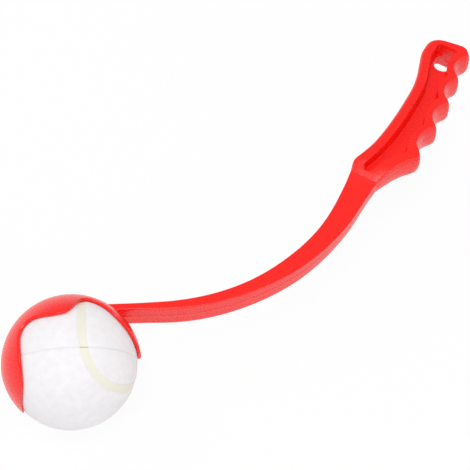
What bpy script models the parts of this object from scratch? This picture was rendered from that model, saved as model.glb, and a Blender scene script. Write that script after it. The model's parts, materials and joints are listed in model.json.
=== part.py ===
"""Ball thrower for a dog: a moulded claw, a bent arm and a grip with finger grooves, and its felt ball.

The part lies on its side. +X runs from the claw to the end of the grip, +Z is square to the plane
in which the arm bends, and the origin is under the middle of the whole, level with its lowest point.
Lengths are metres and angles are degrees.
"""
import math

import bmesh
import bpy
import numpy as np
from mathutils import Euler, Matrix, Vector

# Driving dimensions of the ball
BALL_RADIUS = 0.0325
FELT_THICKNESS = 0.0030
CORE_WALL = 0.0035
PIECE_GAP = 0.0003
SEAM_WIDTH = 0.0040
SEAM_RECESS = 0.0003
SEAM_SWING_SHARE = 0.1254
BALL_TURN = (-61.7, -3.3, 117.0)
CORE_TURN = (0.0, 79.5, 56.0)

# Driving dimensions of the claw that holds the ball
CUP_CLEARANCE = 0.0004
CUP_WALL = 0.0019
RELEASE_CLEARANCE = 0.0001
RELEASE_HEADING = 253.1
CLAW_HALF_WIDTHS = (
    (71.2, 4.0), (72.0, 7.6), (73.8, 11.2), (76.2, 15.0), (79.4, 19.2), (83.5, 24.0), (88.8, 29.0),
    (95.5, 33.0), (103.5, 35.4), (113.0, 36.6), (122.0, 37.7), (129.0, 39.0), (134.2, 41.0),
    (137.8, 44.2), (140.6, 50.0), (143.4, 57.8), (147.6, 64.4), (154.6, 68.2), (164.0, 69.6),
    (174.0, 69.5), (183.0, 68.4), (190.6, 66.5), (197.2, 63.6), (203.0, 60.0), (208.6, 55.8),
    (214.2, 51.8), (220.0, 48.8), (226.4, 47.2), (233.6, 46.7), (242.0, 47.3), (250.0, 47.7),
    (258.0, 47.0), (265.2, 45.4), (271.6, 43.2), (277.6, 40.0), (282.6, 35.6), (285.2, 31.8),
    (287.0, 27.4), (288.2, 22.4), (288.8, 17.0),
)

# Driving dimensions of the arm
ARM_HEADING = -41.4
ARM_BEND = 60.2
ARM_STRAIGHT = 0.0313
ARM_ARC = 0.1179
ARM_TAIL = 0.0198
ARM_NECK_WIDTH = 0.0148
ARM_THICKNESS = 0.0154
ARM_EDGE_RADIUS = 0.0007
ARM_FLARE_RADIUS = 0.0080
ARM_OFFSET_SHARE = 0.780
ARM_START_SHARE = 0.401
ARM_FLARE_END_SHARE = 0.333
ARM_WIDTH_SHARES = (
    (0.00, 0.250), (0.12, 0.255), (0.25, 0.332), (0.39, 0.402), (0.46, 0.448), (0.53, 0.515),
    (0.60, 0.592), (0.68, 0.655), (0.75, 0.710), (0.83, 0.800), (0.92, 0.892), (1.00, 1.000),
)
ARM_THICKNESS_SHARES = (
    (0.00, 1.000), (0.32, 0.974), (0.46, 0.915), (0.60, 0.831), (0.68, 0.753), (0.75, 0.669),
    (0.83, 0.584), (0.92, 0.532), (0.97, 0.551), (1.00, 0.603),
)

# Driving dimensions of the grip
GRIP_LENGTH = 0.0995
GRIP_THICKNESS = 0.0180
GRIP_TURN = -2.8
GRIP_BACK_RADIUS = 0.0032
GRIP_BACK_RIM = 0.0060
GRIP_FRONT_WALL = 0.0034
GRIP_RIDGE_WALL = 0.0053
GRIP_NOSE_WALL = 0.0064
GRIP_WEB = 0.0020
GROOVE_DEPTH = 0.0043
FINGER_CROWN = 0.0014
BELLY_CROWN = 0.0004
PARTING_CROWN = 0.0002
HANG_HOLE_RADIUS = 0.0053
HANG_HOLE_LEDGE = 0.0005
HANG_HOLE_OFFSET_SHARE = -0.022
NECK_THICKNESS_SHARES = (
    (0.00, 0.52), (0.05, 0.67), (0.09, 0.77), (0.14, 0.81), (0.22, 0.84), (0.30, 0.92), (0.40, 1.00),
    (0.44, 1.00), (0.60, 1.00), (1.01, 1.00),
)
NECK_RADIUS_SHARES = ((0.00, 0.30), (0.08, 0.34), (0.20, 0.85), (0.30, 1.00), (1.00, 1.00))
GRIP_BACK_SHARES = (
    (0.000, 0.078), (0.067, 0.091), (0.110, 0.078), (0.166, 0.063), (0.329, 0.038), (0.530, 0.033),
    (0.652, 0.040), (0.733, 0.057), (0.802, 0.080), (0.875, 0.101), (0.931, 0.102),
)
GRIP_BELLY_SHARES = (
    (0.000, -0.075), (0.030, -0.084), (0.083, -0.100), (0.142, -0.125), (0.190, -0.157),
    (0.213, -0.176), (0.232, -0.188), (0.248, -0.192), (0.263, -0.190),
)
RIDGE_SHARES = ((0.275, -0.182), (0.459, -0.186), (0.637, -0.174), (0.809, -0.145), (0.978, -0.128))
GROOVE_SHARES = (
    (0.00, 0.00), (0.03, 0.10), (0.08, 0.35), (0.15, 0.64), (0.24, 0.86), (0.35, 0.98),
    (0.46, 1.00), (0.58, 0.94), (0.69, 0.77), (0.79, 0.53), (0.88, 0.27), (0.95, 0.08),
)
GRIP_END_SHARES = (
    (0.983, -0.125, 0.952, 0.097), (0.999, -0.109, 0.972, 0.084),
    (1.006, -0.091, 0.981, 0.070), (1.004, -0.065, 0.986, 0.045),
)
POCKET_CORNER_SHARES = (0.242, 0.434, 0.627, 0.790, 0.962)
POCKET_ROUND_SHARES = ((0.036, 0.20), (0.041, 0.50), (0.055, 0.82), (0.075, 1.00))
POCKET_NOSE_SHARES = (0.10, 0.14, 0.19, 0.22)

# Fineness of the curved surfaces
BALL_SIDES = 40
CUP_ROWS = 16
SEAM_STEPS = 96
CORNER_STEPS = 3
FRONT_LEVEL_SHARES = (1.0, 0.85, 0.65, 0.35, 0.0, -0.35, -0.65, -0.85, -1.0)
FLARE_STEPS = 6
ARM_STEPS = 24
POCKET_STEPS = 6
HOLE_SIDES = 32
SHARP_ANGLE = 35.0
WELD_DISTANCE = 0.00001
CLAW_STEP = 5.0

# Sizes that follow from the driving dimensions
FELT_INNER_RADIUS = BALL_RADIUS - FELT_THICKNESS
CORE_RADIUS = FELT_INNER_RADIUS - PIECE_GAP
CUP_INNER_RADIUS = BALL_RADIUS + CUP_CLEARANCE
CUP_RADIUS = CUP_INNER_RADIUS + CUP_WALL
RELEASE_RADIUS = BALL_RADIUS + RELEASE_CLEARANCE
ARM_LENGTH = ARM_STRAIGHT + ARM_ARC + ARM_TAIL


def clear_scene():
    """Remove every object that the scene starts with."""
    for found in list(bpy.data.objects):
        bpy.data.objects.remove(found, do_unlink=True)


def new_collection(name):
    """Add a collection to the scene."""
    made = bpy.data.collections.new(name)
    bpy.context.scene.collection.children.link(made)
    return made


def new_material(name, colour, roughness):
    """Make a plain dielectric material."""
    made = bpy.data.materials.new(name)
    made.use_nodes = True
    shader = made.node_tree.nodes["Principled BSDF"]
    shader.inputs["Base Color"].default_value = (*colour, 1.0)
    shader.inputs["Roughness"].default_value = roughness
    shader.inputs["Metallic"].default_value = 0.0
    made.diffuse_color = (*colour, 1.0)
    return made


def add_object(name, mesh, collection, material=None):
    """Put a mesh in the scene under its own name."""
    made = bpy.data.objects.new(name, mesh)
    collection.objects.link(made)
    if material:
        mesh.materials.append(material)
    return made


def add_empty(name, collection, parent=None):
    """Add a plain empty that carries other objects."""
    made = bpy.data.objects.new(name, None)
    collection.objects.link(made)
    made.parent = parent
    return made


def as_guide(item):
    """Mark an object as a cutter that is no piece of the part."""
    item.hide_render = True
    item.display_type = "WIRE"
    return item


def add_boolean(target, tool, operation):
    """Cut a mesh from its target, or join it to it."""
    modifier = target.modifiers.new(tool.name, "BOOLEAN")
    modifier.object = tool
    modifier.operation = operation
    modifier.solver = "EXACT"


def mesh_from(name, bm):
    """Turn a bmesh into a mesh whose faces all point outwards."""
    bmesh.ops.recalc_face_normals(bm, faces=bm.faces)
    mesh = bpy.data.meshes.new(name)
    bm.to_mesh(mesh)
    bm.free()
    mesh.shade_smooth()
    mesh.set_sharp_from_angle(angle=math.radians(SHARP_ANGLE))
    return mesh


def loft(name, rings, cyclic=False):
    """Skin a run of rings with the same number of points, as one closed solid."""
    bm = bmesh.new()
    rows = [[bm.verts.new(point) for point in ring] for ring in rings]
    following = rows[1:] + rows[:1] if cyclic else rows[1:]
    for row, after in zip(rows, following):
        for here in range(len(row)):
            there = (here + 1) % len(row)
            bm.faces.new((row[here], row[there], after[there], after[here]))
    if not cyclic:
        bm.faces.new(rows[0])
        bm.faces.new(rows[-1])
    return mesh_from(name, bm)


def smooth(table, place):
    """Read a table of (place, value) along a cubic curve through its points."""
    places, values = np.array(table, dtype=float).T
    slopes = np.gradient(values, places)
    last = int(np.clip(np.searchsorted(places, place) - 1, 0, len(places) - 2))
    step = places[last + 1] - places[last]
    part = float(np.clip((place - places[last]) / step, 0.0, 1.0))
    rest = 1.0 - part
    level = values[last] * (1.0 + 2.0 * part) * rest ** 2 + values[last + 1] * (3.0 - 2.0 * part) * part ** 2
    lean = slopes[last] * part * rest ** 2 - slopes[last + 1] * part ** 2 * rest
    return float(level + lean * step)


def straight(table, place):
    """Read a table of (place, value) along straight lines between its points."""
    places, values = np.array(table, dtype=float).T
    return float(np.interp(place, places, values))


def direction(heading):
    """Give the unit vector of a heading in the plane of the arm."""
    return Vector((math.cos(math.radians(heading)), math.sin(math.radians(heading)), 0.0))


# The claw: a strip of the ball's own sphere, with a rounded tip at each end and a wing on each side
def claw_angles():
    """List the angles of the claw's sections, no further apart than the claw's step."""
    places = [angle for angle, _ in CLAW_HALF_WIDTHS]
    angles = []
    for start, end in zip(places, places[1:]):
        steps = math.ceil((end - start) / CLAW_STEP)
        angles += [start + (end - start) * step / steps for step in range(steps)]
    return angles + [places[-1]]


def claw_wall_start(angle, latitude):
    """Give the inner radius: the ball's seat, or the straight way out where that is wider."""
    along = math.cos(math.radians(latitude)) * math.cos(math.radians(angle))
    if along <= 0.0:
        return CUP_INNER_RADIUS
    across = math.sqrt(1.0 - along ** 2)
    return max(CUP_INNER_RADIUS, RELEASE_RADIUS / across)


def claw_section(angle):
    """Draw one section of the claw in the half plane at its angle."""
    half = smooth(CLAW_HALF_WIDTHS, angle)
    outward = direction(RELEASE_HEADING + angle)
    latitudes = [half * (2.0 * row / CUP_ROWS - 1.0) for row in range(CUP_ROWS + 1)]
    rays = [
        outward * math.cos(math.radians(latitude)) + Vector((0.0, 0.0, math.sin(math.radians(latitude))))
        for latitude in latitudes
    ]
    outer = [ray * CUP_RADIUS for ray in rays]
    inner = [ray * claw_wall_start(angle, latitude) for ray, latitude in zip(rays, latitudes)]
    return outer + inner[::-1]


# The arm and the grip: one bar whose section changes from rung to rung
def arm_place(distance):
    """Give the point and the heading of the arm's centre line at a distance from its root."""
    heading = ARM_HEADING
    along = direction(heading)
    across = direction(heading + 90.0)
    point = along * (CUP_RADIUS * ARM_START_SHARE) + across * (CUP_RADIUS * ARM_OFFSET_SHARE)
    point += along * min(distance, ARM_STRAIGHT)
    turned = min(max(distance - ARM_STRAIGHT, 0.0), ARM_ARC)
    bend_radius = ARM_ARC / math.radians(ARM_BEND)
    turn = math.degrees(turned / bend_radius)
    point += direction(heading + turn / 2.0) * (2.0 * bend_radius * math.sin(math.radians(turn / 2.0)))
    heading += turn
    point += direction(heading) * max(distance - ARM_STRAIGHT - ARM_ARC, 0.0)
    return point, heading


def bar_section(back, front, thickness, back_radius, front_crown):
    """Draw a section: flat sides, a back with rounded corners and a front that bulges by its crown."""
    across = front - back
    width = across.length
    across.normalize()
    half = thickness / 2.0
    outline = [(-PARTING_CROWN, 0.0)]
    for step in range(CORNER_STEPS + 1):
        angle = math.radians(180.0 - 90.0 * step / CORNER_STEPS)
        height = half - back_radius + back_radius * math.sin(angle)
        outline.append((back_radius + back_radius * math.cos(angle), height))
    for level in FRONT_LEVEL_SHARES:
        bulge = front_crown * (1.0 - abs(level) ** 3) + PARTING_CROWN * (1.0 - abs(level))
        outline.append((width + bulge, half * level))
    for place, height in outline[CORNER_STEPS + 1:0:-1]:
        outline.append((place, -height))
    return [back + across * place + Vector((0.0, 0.0, height)) for place, height in outline]


def arm_sections():
    """Draw the arm's sections from inside the claw's wall to the neck."""
    flare_end = CUP_RADIUS * ARM_FLARE_END_SHARE
    neck_start = ARM_LENGTH - ARM_NECK_WIDTH / 2.0
    flare = [flare_end * step / FLARE_STEPS for step in range(FLARE_STEPS + 1)]
    plain = [flare_end + (neck_start - flare_end) * step / ARM_STEPS for step in range(1, ARM_STEPS + 1)]
    sections = []
    for distance in flare + plain:
        share = distance / ARM_LENGTH
        centre, heading = arm_place(distance)
        left = direction(heading + 90.0)
        half = ARM_NECK_WIDTH * smooth(ARM_WIDTH_SHARES, share) / 2.0
        inward = min(max(flare_end - distance, 0.0), ARM_FLARE_RADIUS)
        spread = ARM_FLARE_RADIUS - math.sqrt(ARM_FLARE_RADIUS ** 2 - inward ** 2)
        thickness = ARM_THICKNESS * smooth(ARM_THICKNESS_SHARES, share)
        back = centre + left * half
        front = centre - left * (half + spread)
        sections.append(bar_section(back, front, thickness, ARM_EDGE_RADIUS, 0.0))
    return sections


def grip_point(along_share, across_share):
    """Give a point of the grip from its place along and across, as shares of the grip's length."""
    neck, heading = arm_place(ARM_LENGTH)
    along = direction(heading + GRIP_TURN)
    across = direction(heading + GRIP_TURN + 90.0)
    return neck + along * (GRIP_LENGTH * along_share) + across * (GRIP_LENGTH * across_share)


def ridge_height(along_share):
    """Give the line over the tips of the finger ridges."""
    return straight(RIDGE_SHARES, along_share)


def grip_front_points():
    """List the front edge with its crown: the belly to the first ridge, then the finger grooves."""
    reach = GRIP_BELLY_SHARES[-1][0]
    points = [
        (along, across, BELLY_CROWN + (FINGER_CROWN - BELLY_CROWN) * along / reach)
        for along, across in GRIP_BELLY_SHARES
    ]
    for (start, _), (end, _) in zip(RIDGE_SHARES, RIDGE_SHARES[1:]):
        for place, depth in GROOVE_SHARES:
            along = start + (end - start) * place
            across = ridge_height(along) + depth * GROOVE_DEPTH / GRIP_LENGTH
            points.append((along, across, FINGER_CROWN))
    points.append((*RIDGE_SHARES[-1], FINGER_CROWN))
    return points


def grip_rungs():
    """Pair each point of the front edge with the point of the back edge across from it."""
    last_groove = RIDGE_SHARES[-2][0]
    slant = ((0.0, 0.0), (last_groove, last_groove), (RIDGE_SHARES[-1][0], GRIP_BACK_SHARES[-1][0]))
    rungs = []
    for along, across, crown in grip_front_points():
        opposite = straight(slant, along)
        rungs.append((along, across, opposite, smooth(GRIP_BACK_SHARES, opposite), crown))
    return rungs + [(*end, FINGER_CROWN) for end in GRIP_END_SHARES]


def grip_sections():
    """Draw the grip's sections from the neck to its end."""
    sections = []
    for front_along, front_across, back_along, back_across, crown in grip_rungs():
        thickness = GRIP_THICKNESS * smooth(NECK_THICKNESS_SHARES, front_along)
        back_radius = GRIP_BACK_RADIUS * straight(NECK_RADIUS_SHARES, front_along)
        back = grip_point(back_along, back_across)
        front = grip_point(front_along, front_across)
        sections.append(bar_section(back, front, thickness, back_radius, crown))
    return sections


def pocket_edges(along):
    """Give the back and the front edge of the pocket at a place along the grip, as shares."""
    back = smooth(GRIP_BACK_SHARES, along) - GRIP_BACK_RIM / GRIP_LENGTH
    if along <= POCKET_CORNER_SHARES[0]:
        belly = smooth(GRIP_BELLY_SHARES, min(along, GRIP_BELLY_SHARES[-1][0]))
        front = belly + GRIP_NOSE_WALL / GRIP_LENGTH
    else:
        front = ridge_height(along) + GRIP_RIDGE_WALL / GRIP_LENGTH
        for start, end in zip(POCKET_CORNER_SHARES, POCKET_CORNER_SHARES[1:]):
            if start < along < end:
                bulge = GROOVE_DEPTH + GRIP_FRONT_WALL - GRIP_RIDGE_WALL
                middle = 2.0 * (along - start) / (end - start) - 1.0
                front += bulge / GRIP_LENGTH * (1.0 - middle ** 2)
    middle = (back + front) / 2.0
    opening = (back - front) / 2.0 * straight(POCKET_ROUND_SHARES, along)
    return middle + opening, middle - opening


def pocket_places():
    """List the places of the pocket's sections along the grip."""
    places = [share for share, _ in POCKET_ROUND_SHARES] + list(POCKET_NOSE_SHARES)
    for start, end in zip(POCKET_CORNER_SHARES, POCKET_CORNER_SHARES[1:]):
        places += [start + (end - start) * step / POCKET_STEPS for step in range(POCKET_STEPS)]
    return places + [POCKET_CORNER_SHARES[-1]]


def make_pocket(name, side, collection):
    """Make the cutter of the pocket on one side of the web."""
    floor = Vector((0.0, 0.0, side * GRIP_WEB / 2.0))
    top = Vector((0.0, 0.0, side * GRIP_THICKNESS))
    rings = []
    for along in pocket_places():
        back, front = [grip_point(along, edge) for edge in pocket_edges(along)]
        rings.append([back + floor, front + floor, front + top, back + top])
    return as_guide(add_object(name, loft(name, rings), collection))


def make_hang_hole(name, collection):
    """Make the cutter of the round hole through the web, close to the grip's end wall."""
    bm = bmesh.new()
    bmesh.ops.create_cone(
        bm, cap_ends=True, segments=HOLE_SIDES, radius1=HANG_HOLE_RADIUS, radius2=HANG_HOLE_RADIUS,
        depth=GRIP_THICKNESS,
    )
    reach = (HANG_HOLE_RADIUS + HANG_HOLE_LEDGE) / GRIP_LENGTH
    made = add_object(name, mesh_from(name, bm), collection)
    made.location = grip_point(POCKET_CORNER_SHARES[-1] - reach, HANG_HOLE_OFFSET_SHARE)
    return as_guide(made)


def make_thrower(parts, cutters, material):
    """Join the claw, the arm and the grip into the one moulding that they are."""
    thrower = add_object("thrower", loft("thrower", arm_sections() + grip_sections()), parts, material)
    bm = bmesh.new()
    bmesh.ops.create_uvsphere(
        bm, u_segments=2 * BALL_SIDES, v_segments=BALL_SIDES, radius=CUP_INNER_RADIUS + CUP_WALL / 2.0,
    )
    root_trim = as_guide(add_object("root_trim", mesh_from("root_trim", bm), cutters))
    sections = [claw_section(angle) for angle in claw_angles()]
    claw = as_guide(add_object("claw", loft("claw", sections), cutters))
    near_pocket = make_pocket("near_pocket", 1.0, cutters)
    far_pocket = make_pocket("far_pocket", -1.0, cutters)
    hang_hole = make_hang_hole("hang_hole", cutters)
    add_boolean(thrower, root_trim, "DIFFERENCE")
    add_boolean(thrower, claw, "UNION")
    add_boolean(thrower, near_pocket, "DIFFERENCE")
    add_boolean(thrower, far_pocket, "DIFFERENCE")
    add_boolean(thrower, hang_hole, "DIFFERENCE")
    return thrower


# The ball: two rubber half shells, two felt panels and the rubber seam between the panels
def make_core_half(name, side, parts, material):
    """Turn one rubber half shell, open at the plane where the halves meet."""
    steps = BALL_SIDES // 4
    bm = bmesh.new()
    inner_radius = CORE_RADIUS - CORE_WALL
    rim = PIECE_GAP / 2.0
    profile = []
    for radius, order in ((CORE_RADIUS, range(steps + 1)), (inner_radius, range(steps, -1, -1))):
        lowest = math.asin(rim / radius)
        for step in order:
            latitude = math.pi / 2.0 + (lowest - math.pi / 2.0) * step / steps
            profile.append(bm.verts.new((radius * math.cos(latitude), 0.0, radius * math.sin(latitude))))
    for start, end in zip(profile, profile[1:]):
        bm.edges.new((start, end))
    mesh = bpy.data.meshes.new(name)
    bm.to_mesh(mesh)
    bm.free()
    half = add_object(name, mesh, parts, material)
    screw = half.modifiers.new("turned", "SCREW")
    screw.steps = BALL_SIDES
    screw.render_steps = BALL_SIDES
    screw.use_merge_vertices = True
    screw.merge_threshold = WELD_DISTANCE
    screw.use_smooth_shade = True
    tilt = 0.0 if side > 0.0 else 180.0
    turn = Euler([math.radians(angle) for angle in CORE_TURN]).to_matrix()
    half.matrix_basis = (turn @ Matrix.Rotation(math.radians(tilt), 3, "X")).to_4x4()
    return half


def seam_place(turn):
    """Give a point on the unit sphere along the seam, which winds round it like a figure of eight."""
    swing = SEAM_SWING_SHARE
    lift = 2.0 * math.sqrt(swing * (1.0 - swing))
    return Vector((
        (1.0 - swing) * math.cos(turn) + swing * math.cos(3.0 * turn),
        (1.0 - swing) * math.sin(turn) - swing * math.sin(3.0 * turn),
        lift * math.sin(2.0 * turn),
    ))


def seam_band(name, width, inner_radius, outer_radius):
    """Sweep a flat band round the ball along its seam."""
    rings = []
    for step in range(SEAM_STEPS):
        turn = 2.0 * math.pi * step / SEAM_STEPS
        ahead = seam_place(turn + math.pi / SEAM_STEPS) - seam_place(turn - math.pi / SEAM_STEPS)
        out = seam_place(turn).normalized()
        side = out.cross(ahead).normalized() * (width / 2.0)
        rings.append([
            out * outer_radius - side, out * outer_radius + side,
            out * inner_radius + side, out * inner_radius - side,
        ])
    return loft(name, rings, cyclic=True)


def make_felt_panels(names, parts, cutters, material):
    """Cut a hollow felt ball along its seam and keep its two halves as two pieces."""
    bm = bmesh.new()
    for radius in (BALL_RADIUS, FELT_INNER_RADIUS):
        made = bmesh.ops.create_uvsphere(
            bm, u_segments=BALL_SIDES, v_segments=BALL_SIDES // 2, radius=radius,
        )
        if radius == FELT_INNER_RADIUS:
            inner = {face for vert in made["verts"] for face in vert.link_faces}
            bmesh.ops.reverse_faces(bm, faces=list(inner))
    shell_mesh = bpy.data.meshes.new("felt_shell")
    bm.to_mesh(shell_mesh)
    bm.free()
    shell = add_object("felt_shell", shell_mesh, cutters)
    width = SEAM_WIDTH + 2.0 * PIECE_GAP
    band = seam_band("seam_gap", width, FELT_INNER_RADIUS - CORE_WALL, BALL_RADIUS + FELT_THICKNESS)
    seam_gap = as_guide(add_object("seam_gap", band, cutters))
    add_boolean(shell, seam_gap, "DIFFERENCE")
    evaluated = shell.evaluated_get(bpy.context.evaluated_depsgraph_get())
    cut = bpy.data.meshes.new_from_object(evaluated)
    bpy.data.objects.remove(shell, do_unlink=True)
    return [
        add_object(name, one_side(name, cut, side), parts, material)
        for name, side in zip(names, (1.0, -1.0))
    ]


def one_side(name, mesh, side):
    """Copy the loose half of a mesh whose waist is on one side of the seam."""
    bm = bmesh.new()
    bm.from_mesh(mesh)
    start = max(bm.verts, key=lambda vert: side * vert.co.z)
    kept = {start}
    edge_of_search = [start]
    while edge_of_search:
        vert = edge_of_search.pop()
        for edge in vert.link_edges:
            other = edge.other_vert(vert)
            if other not in kept:
                kept.add(other)
                edge_of_search.append(other)
    bmesh.ops.delete(bm, geom=[vert for vert in bm.verts if vert not in kept], context="VERTS")
    return mesh_from(name, bm)


def make_ball(parts, cutters, materials, parent):
    """Make the five pieces of the ball round its centre, which lies on its way out of the claw."""
    centre = add_empty("ball_centre", parts, parent)
    core = [
        make_core_half("core_half_a", 1.0, parts, materials["rubber"]),
        make_core_half("core_half_b", -1.0, parts, materials["rubber"]),
    ]
    felt = make_felt_panels(("felt_panel_a", "felt_panel_b"), parts, cutters, materials["felt"])
    strip_mesh = seam_band("seam_strip", SEAM_WIDTH, FELT_INNER_RADIUS, BALL_RADIUS - SEAM_RECESS)
    seam = add_object("seam_strip", strip_mesh, parts, materials["seam"])
    for piece in felt + [seam]:
        piece.rotation_euler = [math.radians(angle) for angle in BALL_TURN]
    for piece in core + felt + [seam]:
        piece.parent = centre


def stand_over_origin(layout, parts):
    """Move the whole so that the origin is under its middle, level with its lowest point."""
    bpy.context.view_layer.update()
    scene = bpy.context.evaluated_depsgraph_get()
    corners = []
    for item in parts.objects:
        if item.type == "MESH":
            evaluated = item.evaluated_get(scene)
            corners += [evaluated.matrix_world @ vert.co for vert in evaluated.data.vertices]
    low = [min(corner[axis] for corner in corners) for axis in range(3)]
    high = [max(corner[axis] for corner in corners) for axis in range(3)]
    layout.location = (-(low[0] + high[0]) / 2.0, -(low[1] + high[1]) / 2.0, -low[2])
    bpy.context.view_layer.update()
    print("origin", [round(value, 6) for value in layout.location])


def main():
    """Build the thrower and its ball."""
    clear_scene()
    parts = new_collection("dog_ball_thrower")
    cutters = new_collection("cutters")
    materials = {
        "moulding": new_material("moulding", (0.80, 0.02, 0.02), 0.25),
        "rubber": new_material("rubber", (0.10, 0.10, 0.10), 0.60),
        "felt": new_material("felt", (0.80, 0.80, 0.80), 0.95),
        "seam": new_material("seam", (0.80, 0.78, 0.62), 0.60),
    }
    layout = add_empty("layout", parts)
    make_ball(parts, cutters, materials, layout)
    thrower = make_thrower(parts, cutters, materials["moulding"])
    thrower.parent = layout
    for cutter in cutters.objects:
        cutter.parent = layout
    stand_over_origin(layout, parts)


main()
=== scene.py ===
import json
import math

import bmesh
import bpy
import numpy as np
from mathutils import Matrix, Vector


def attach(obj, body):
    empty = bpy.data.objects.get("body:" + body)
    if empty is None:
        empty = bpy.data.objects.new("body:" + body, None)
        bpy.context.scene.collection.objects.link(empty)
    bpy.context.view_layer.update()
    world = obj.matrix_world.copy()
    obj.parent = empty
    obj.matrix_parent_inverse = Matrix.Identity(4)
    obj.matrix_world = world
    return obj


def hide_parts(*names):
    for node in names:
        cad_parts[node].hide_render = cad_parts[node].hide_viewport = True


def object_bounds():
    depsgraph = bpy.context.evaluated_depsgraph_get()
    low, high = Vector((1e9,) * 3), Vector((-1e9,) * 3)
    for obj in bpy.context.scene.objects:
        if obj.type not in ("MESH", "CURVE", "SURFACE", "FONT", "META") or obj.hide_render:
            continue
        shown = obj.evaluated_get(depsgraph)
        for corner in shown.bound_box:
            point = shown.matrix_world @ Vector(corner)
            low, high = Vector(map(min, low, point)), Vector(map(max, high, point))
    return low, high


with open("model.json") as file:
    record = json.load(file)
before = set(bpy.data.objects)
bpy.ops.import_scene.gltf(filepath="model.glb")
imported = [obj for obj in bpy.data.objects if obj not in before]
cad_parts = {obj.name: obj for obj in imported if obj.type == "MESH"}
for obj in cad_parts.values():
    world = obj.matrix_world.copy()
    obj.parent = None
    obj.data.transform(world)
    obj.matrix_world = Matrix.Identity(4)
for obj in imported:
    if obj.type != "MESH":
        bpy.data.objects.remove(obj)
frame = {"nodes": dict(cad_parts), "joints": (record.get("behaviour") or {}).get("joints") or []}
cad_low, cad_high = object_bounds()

# The moulding: claw, arm and grip are one shot of red polypropylene, made in a two-part mould
# that closes along the plane in which the arm bends. It lies on its side, with the mould's
# closing plane level. Lengths are metres and angles are degrees, round the ball's centre.
BALL_CENTRE = np.array(frame["joints"][0]["pos_m"])
WAY_OUT = 253.1
SEAT_RADIUS = 0.0329
CLAW_WALL = 0.0019
CLAW_RIM_WALL, CLAW_TOE_WALL = 0.0016, 0.0007
CLAW_HALF_WIDTHS = (
    (71.2, 4.0), (72.0, 7.6), (73.8, 11.2), (76.2, 15.0), (79.4, 19.2), (83.5, 24.0), (88.8, 29.0),
    (95.5, 33.0), (103.5, 35.4), (113.0, 36.6), (122.0, 37.7), (129.0, 39.0), (134.2, 41.0),
    (137.8, 44.2), (140.6, 50.0), (143.4, 57.8), (147.6, 64.4), (154.6, 68.2), (164.0, 69.6),
    (174.0, 69.5), (183.0, 68.4), (190.6, 66.5), (197.2, 63.6), (203.0, 60.0), (208.6, 55.8),
    (214.2, 51.8), (220.0, 48.8), (226.4, 47.2), (233.6, 46.7), (242.0, 47.3), (250.0, 47.7),
    (258.0, 47.0), (265.2, 45.4), (271.6, 43.2), (277.6, 40.0), (282.6, 35.8), (285.8, 31.6),
    (288.0, 26.6), (289.5, 20.6), (290.2, 14.0), (290.5, 7.0),
)
TOE_THINS_FROM, TOE_THINS_OVER = 255.0, 32.0
TOE_FAR_SHORTFALL, TOE_SHORT_FROM = 0.6, 272.0  # the side away from the eye stops sooner
CLAW_SLICES = 150
CLAW_ROWS = 44
RIM_STEPS = 6


def on_heading(degrees):
    """Give unit vectors in the plane of the arm, one for each heading."""
    turn = np.radians(degrees)
    return np.stack([np.cos(turn), np.sin(turn), np.zeros_like(turn)], axis=-1)


def quarter_rise(share, fullness):
    """Rise from 0 to 1 along a quarter of a superellipse."""
    inside = 1.0 - (1.0 - np.clip(share, 0.0, 1.0)) ** fullness
    return inside ** (1.0 / fullness)


def through(table, places):
    """Read a table of (place, value) along a cubic curve through its points."""
    at, values = np.array(table, dtype=float).T
    slopes = np.gradient(values, at)
    last = np.clip(np.searchsorted(at, places) - 1, 0, len(at) - 2)
    step = at[last + 1] - at[last]
    part = np.clip((places - at[last]) / step, 0.0, 1.0)
    rest = 1.0 - part
    level = values[last] * (1.0 + 2.0 * part) * rest ** 2
    level = level + values[last + 1] * (3.0 - 2.0 * part) * part ** 2
    return level + (slopes[last] * part * rest ** 2 - slopes[last + 1] * part ** 2 * rest) * step


def skin(rings, name, closed_ends=True):
    """Skin a run of rings of points as one closed mesh."""
    count, around, _ = rings.shape
    numbers = np.arange(count * around).reshape(count, around)
    here, there = numbers[:-1], np.roll(numbers[:-1], -1, axis=1)
    after, beyond = np.roll(numbers[1:], -1, axis=1), numbers[1:]
    faces = np.stack([here, there, after, beyond], axis=-1).reshape(-1, 4).tolist()
    if closed_ends:
        faces += [numbers[0].tolist(), numbers[-1].tolist()]
    mesh = bpy.data.meshes.new(name)
    mesh.from_pydata(rings.reshape(-1, 3).tolist(), [], faces)
    bm = bmesh.new()
    bm.from_mesh(mesh)
    bmesh.ops.recalc_face_normals(bm, faces=bm.faces)
    bm.to_mesh(mesh)
    bm.free()
    return mesh


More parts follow.
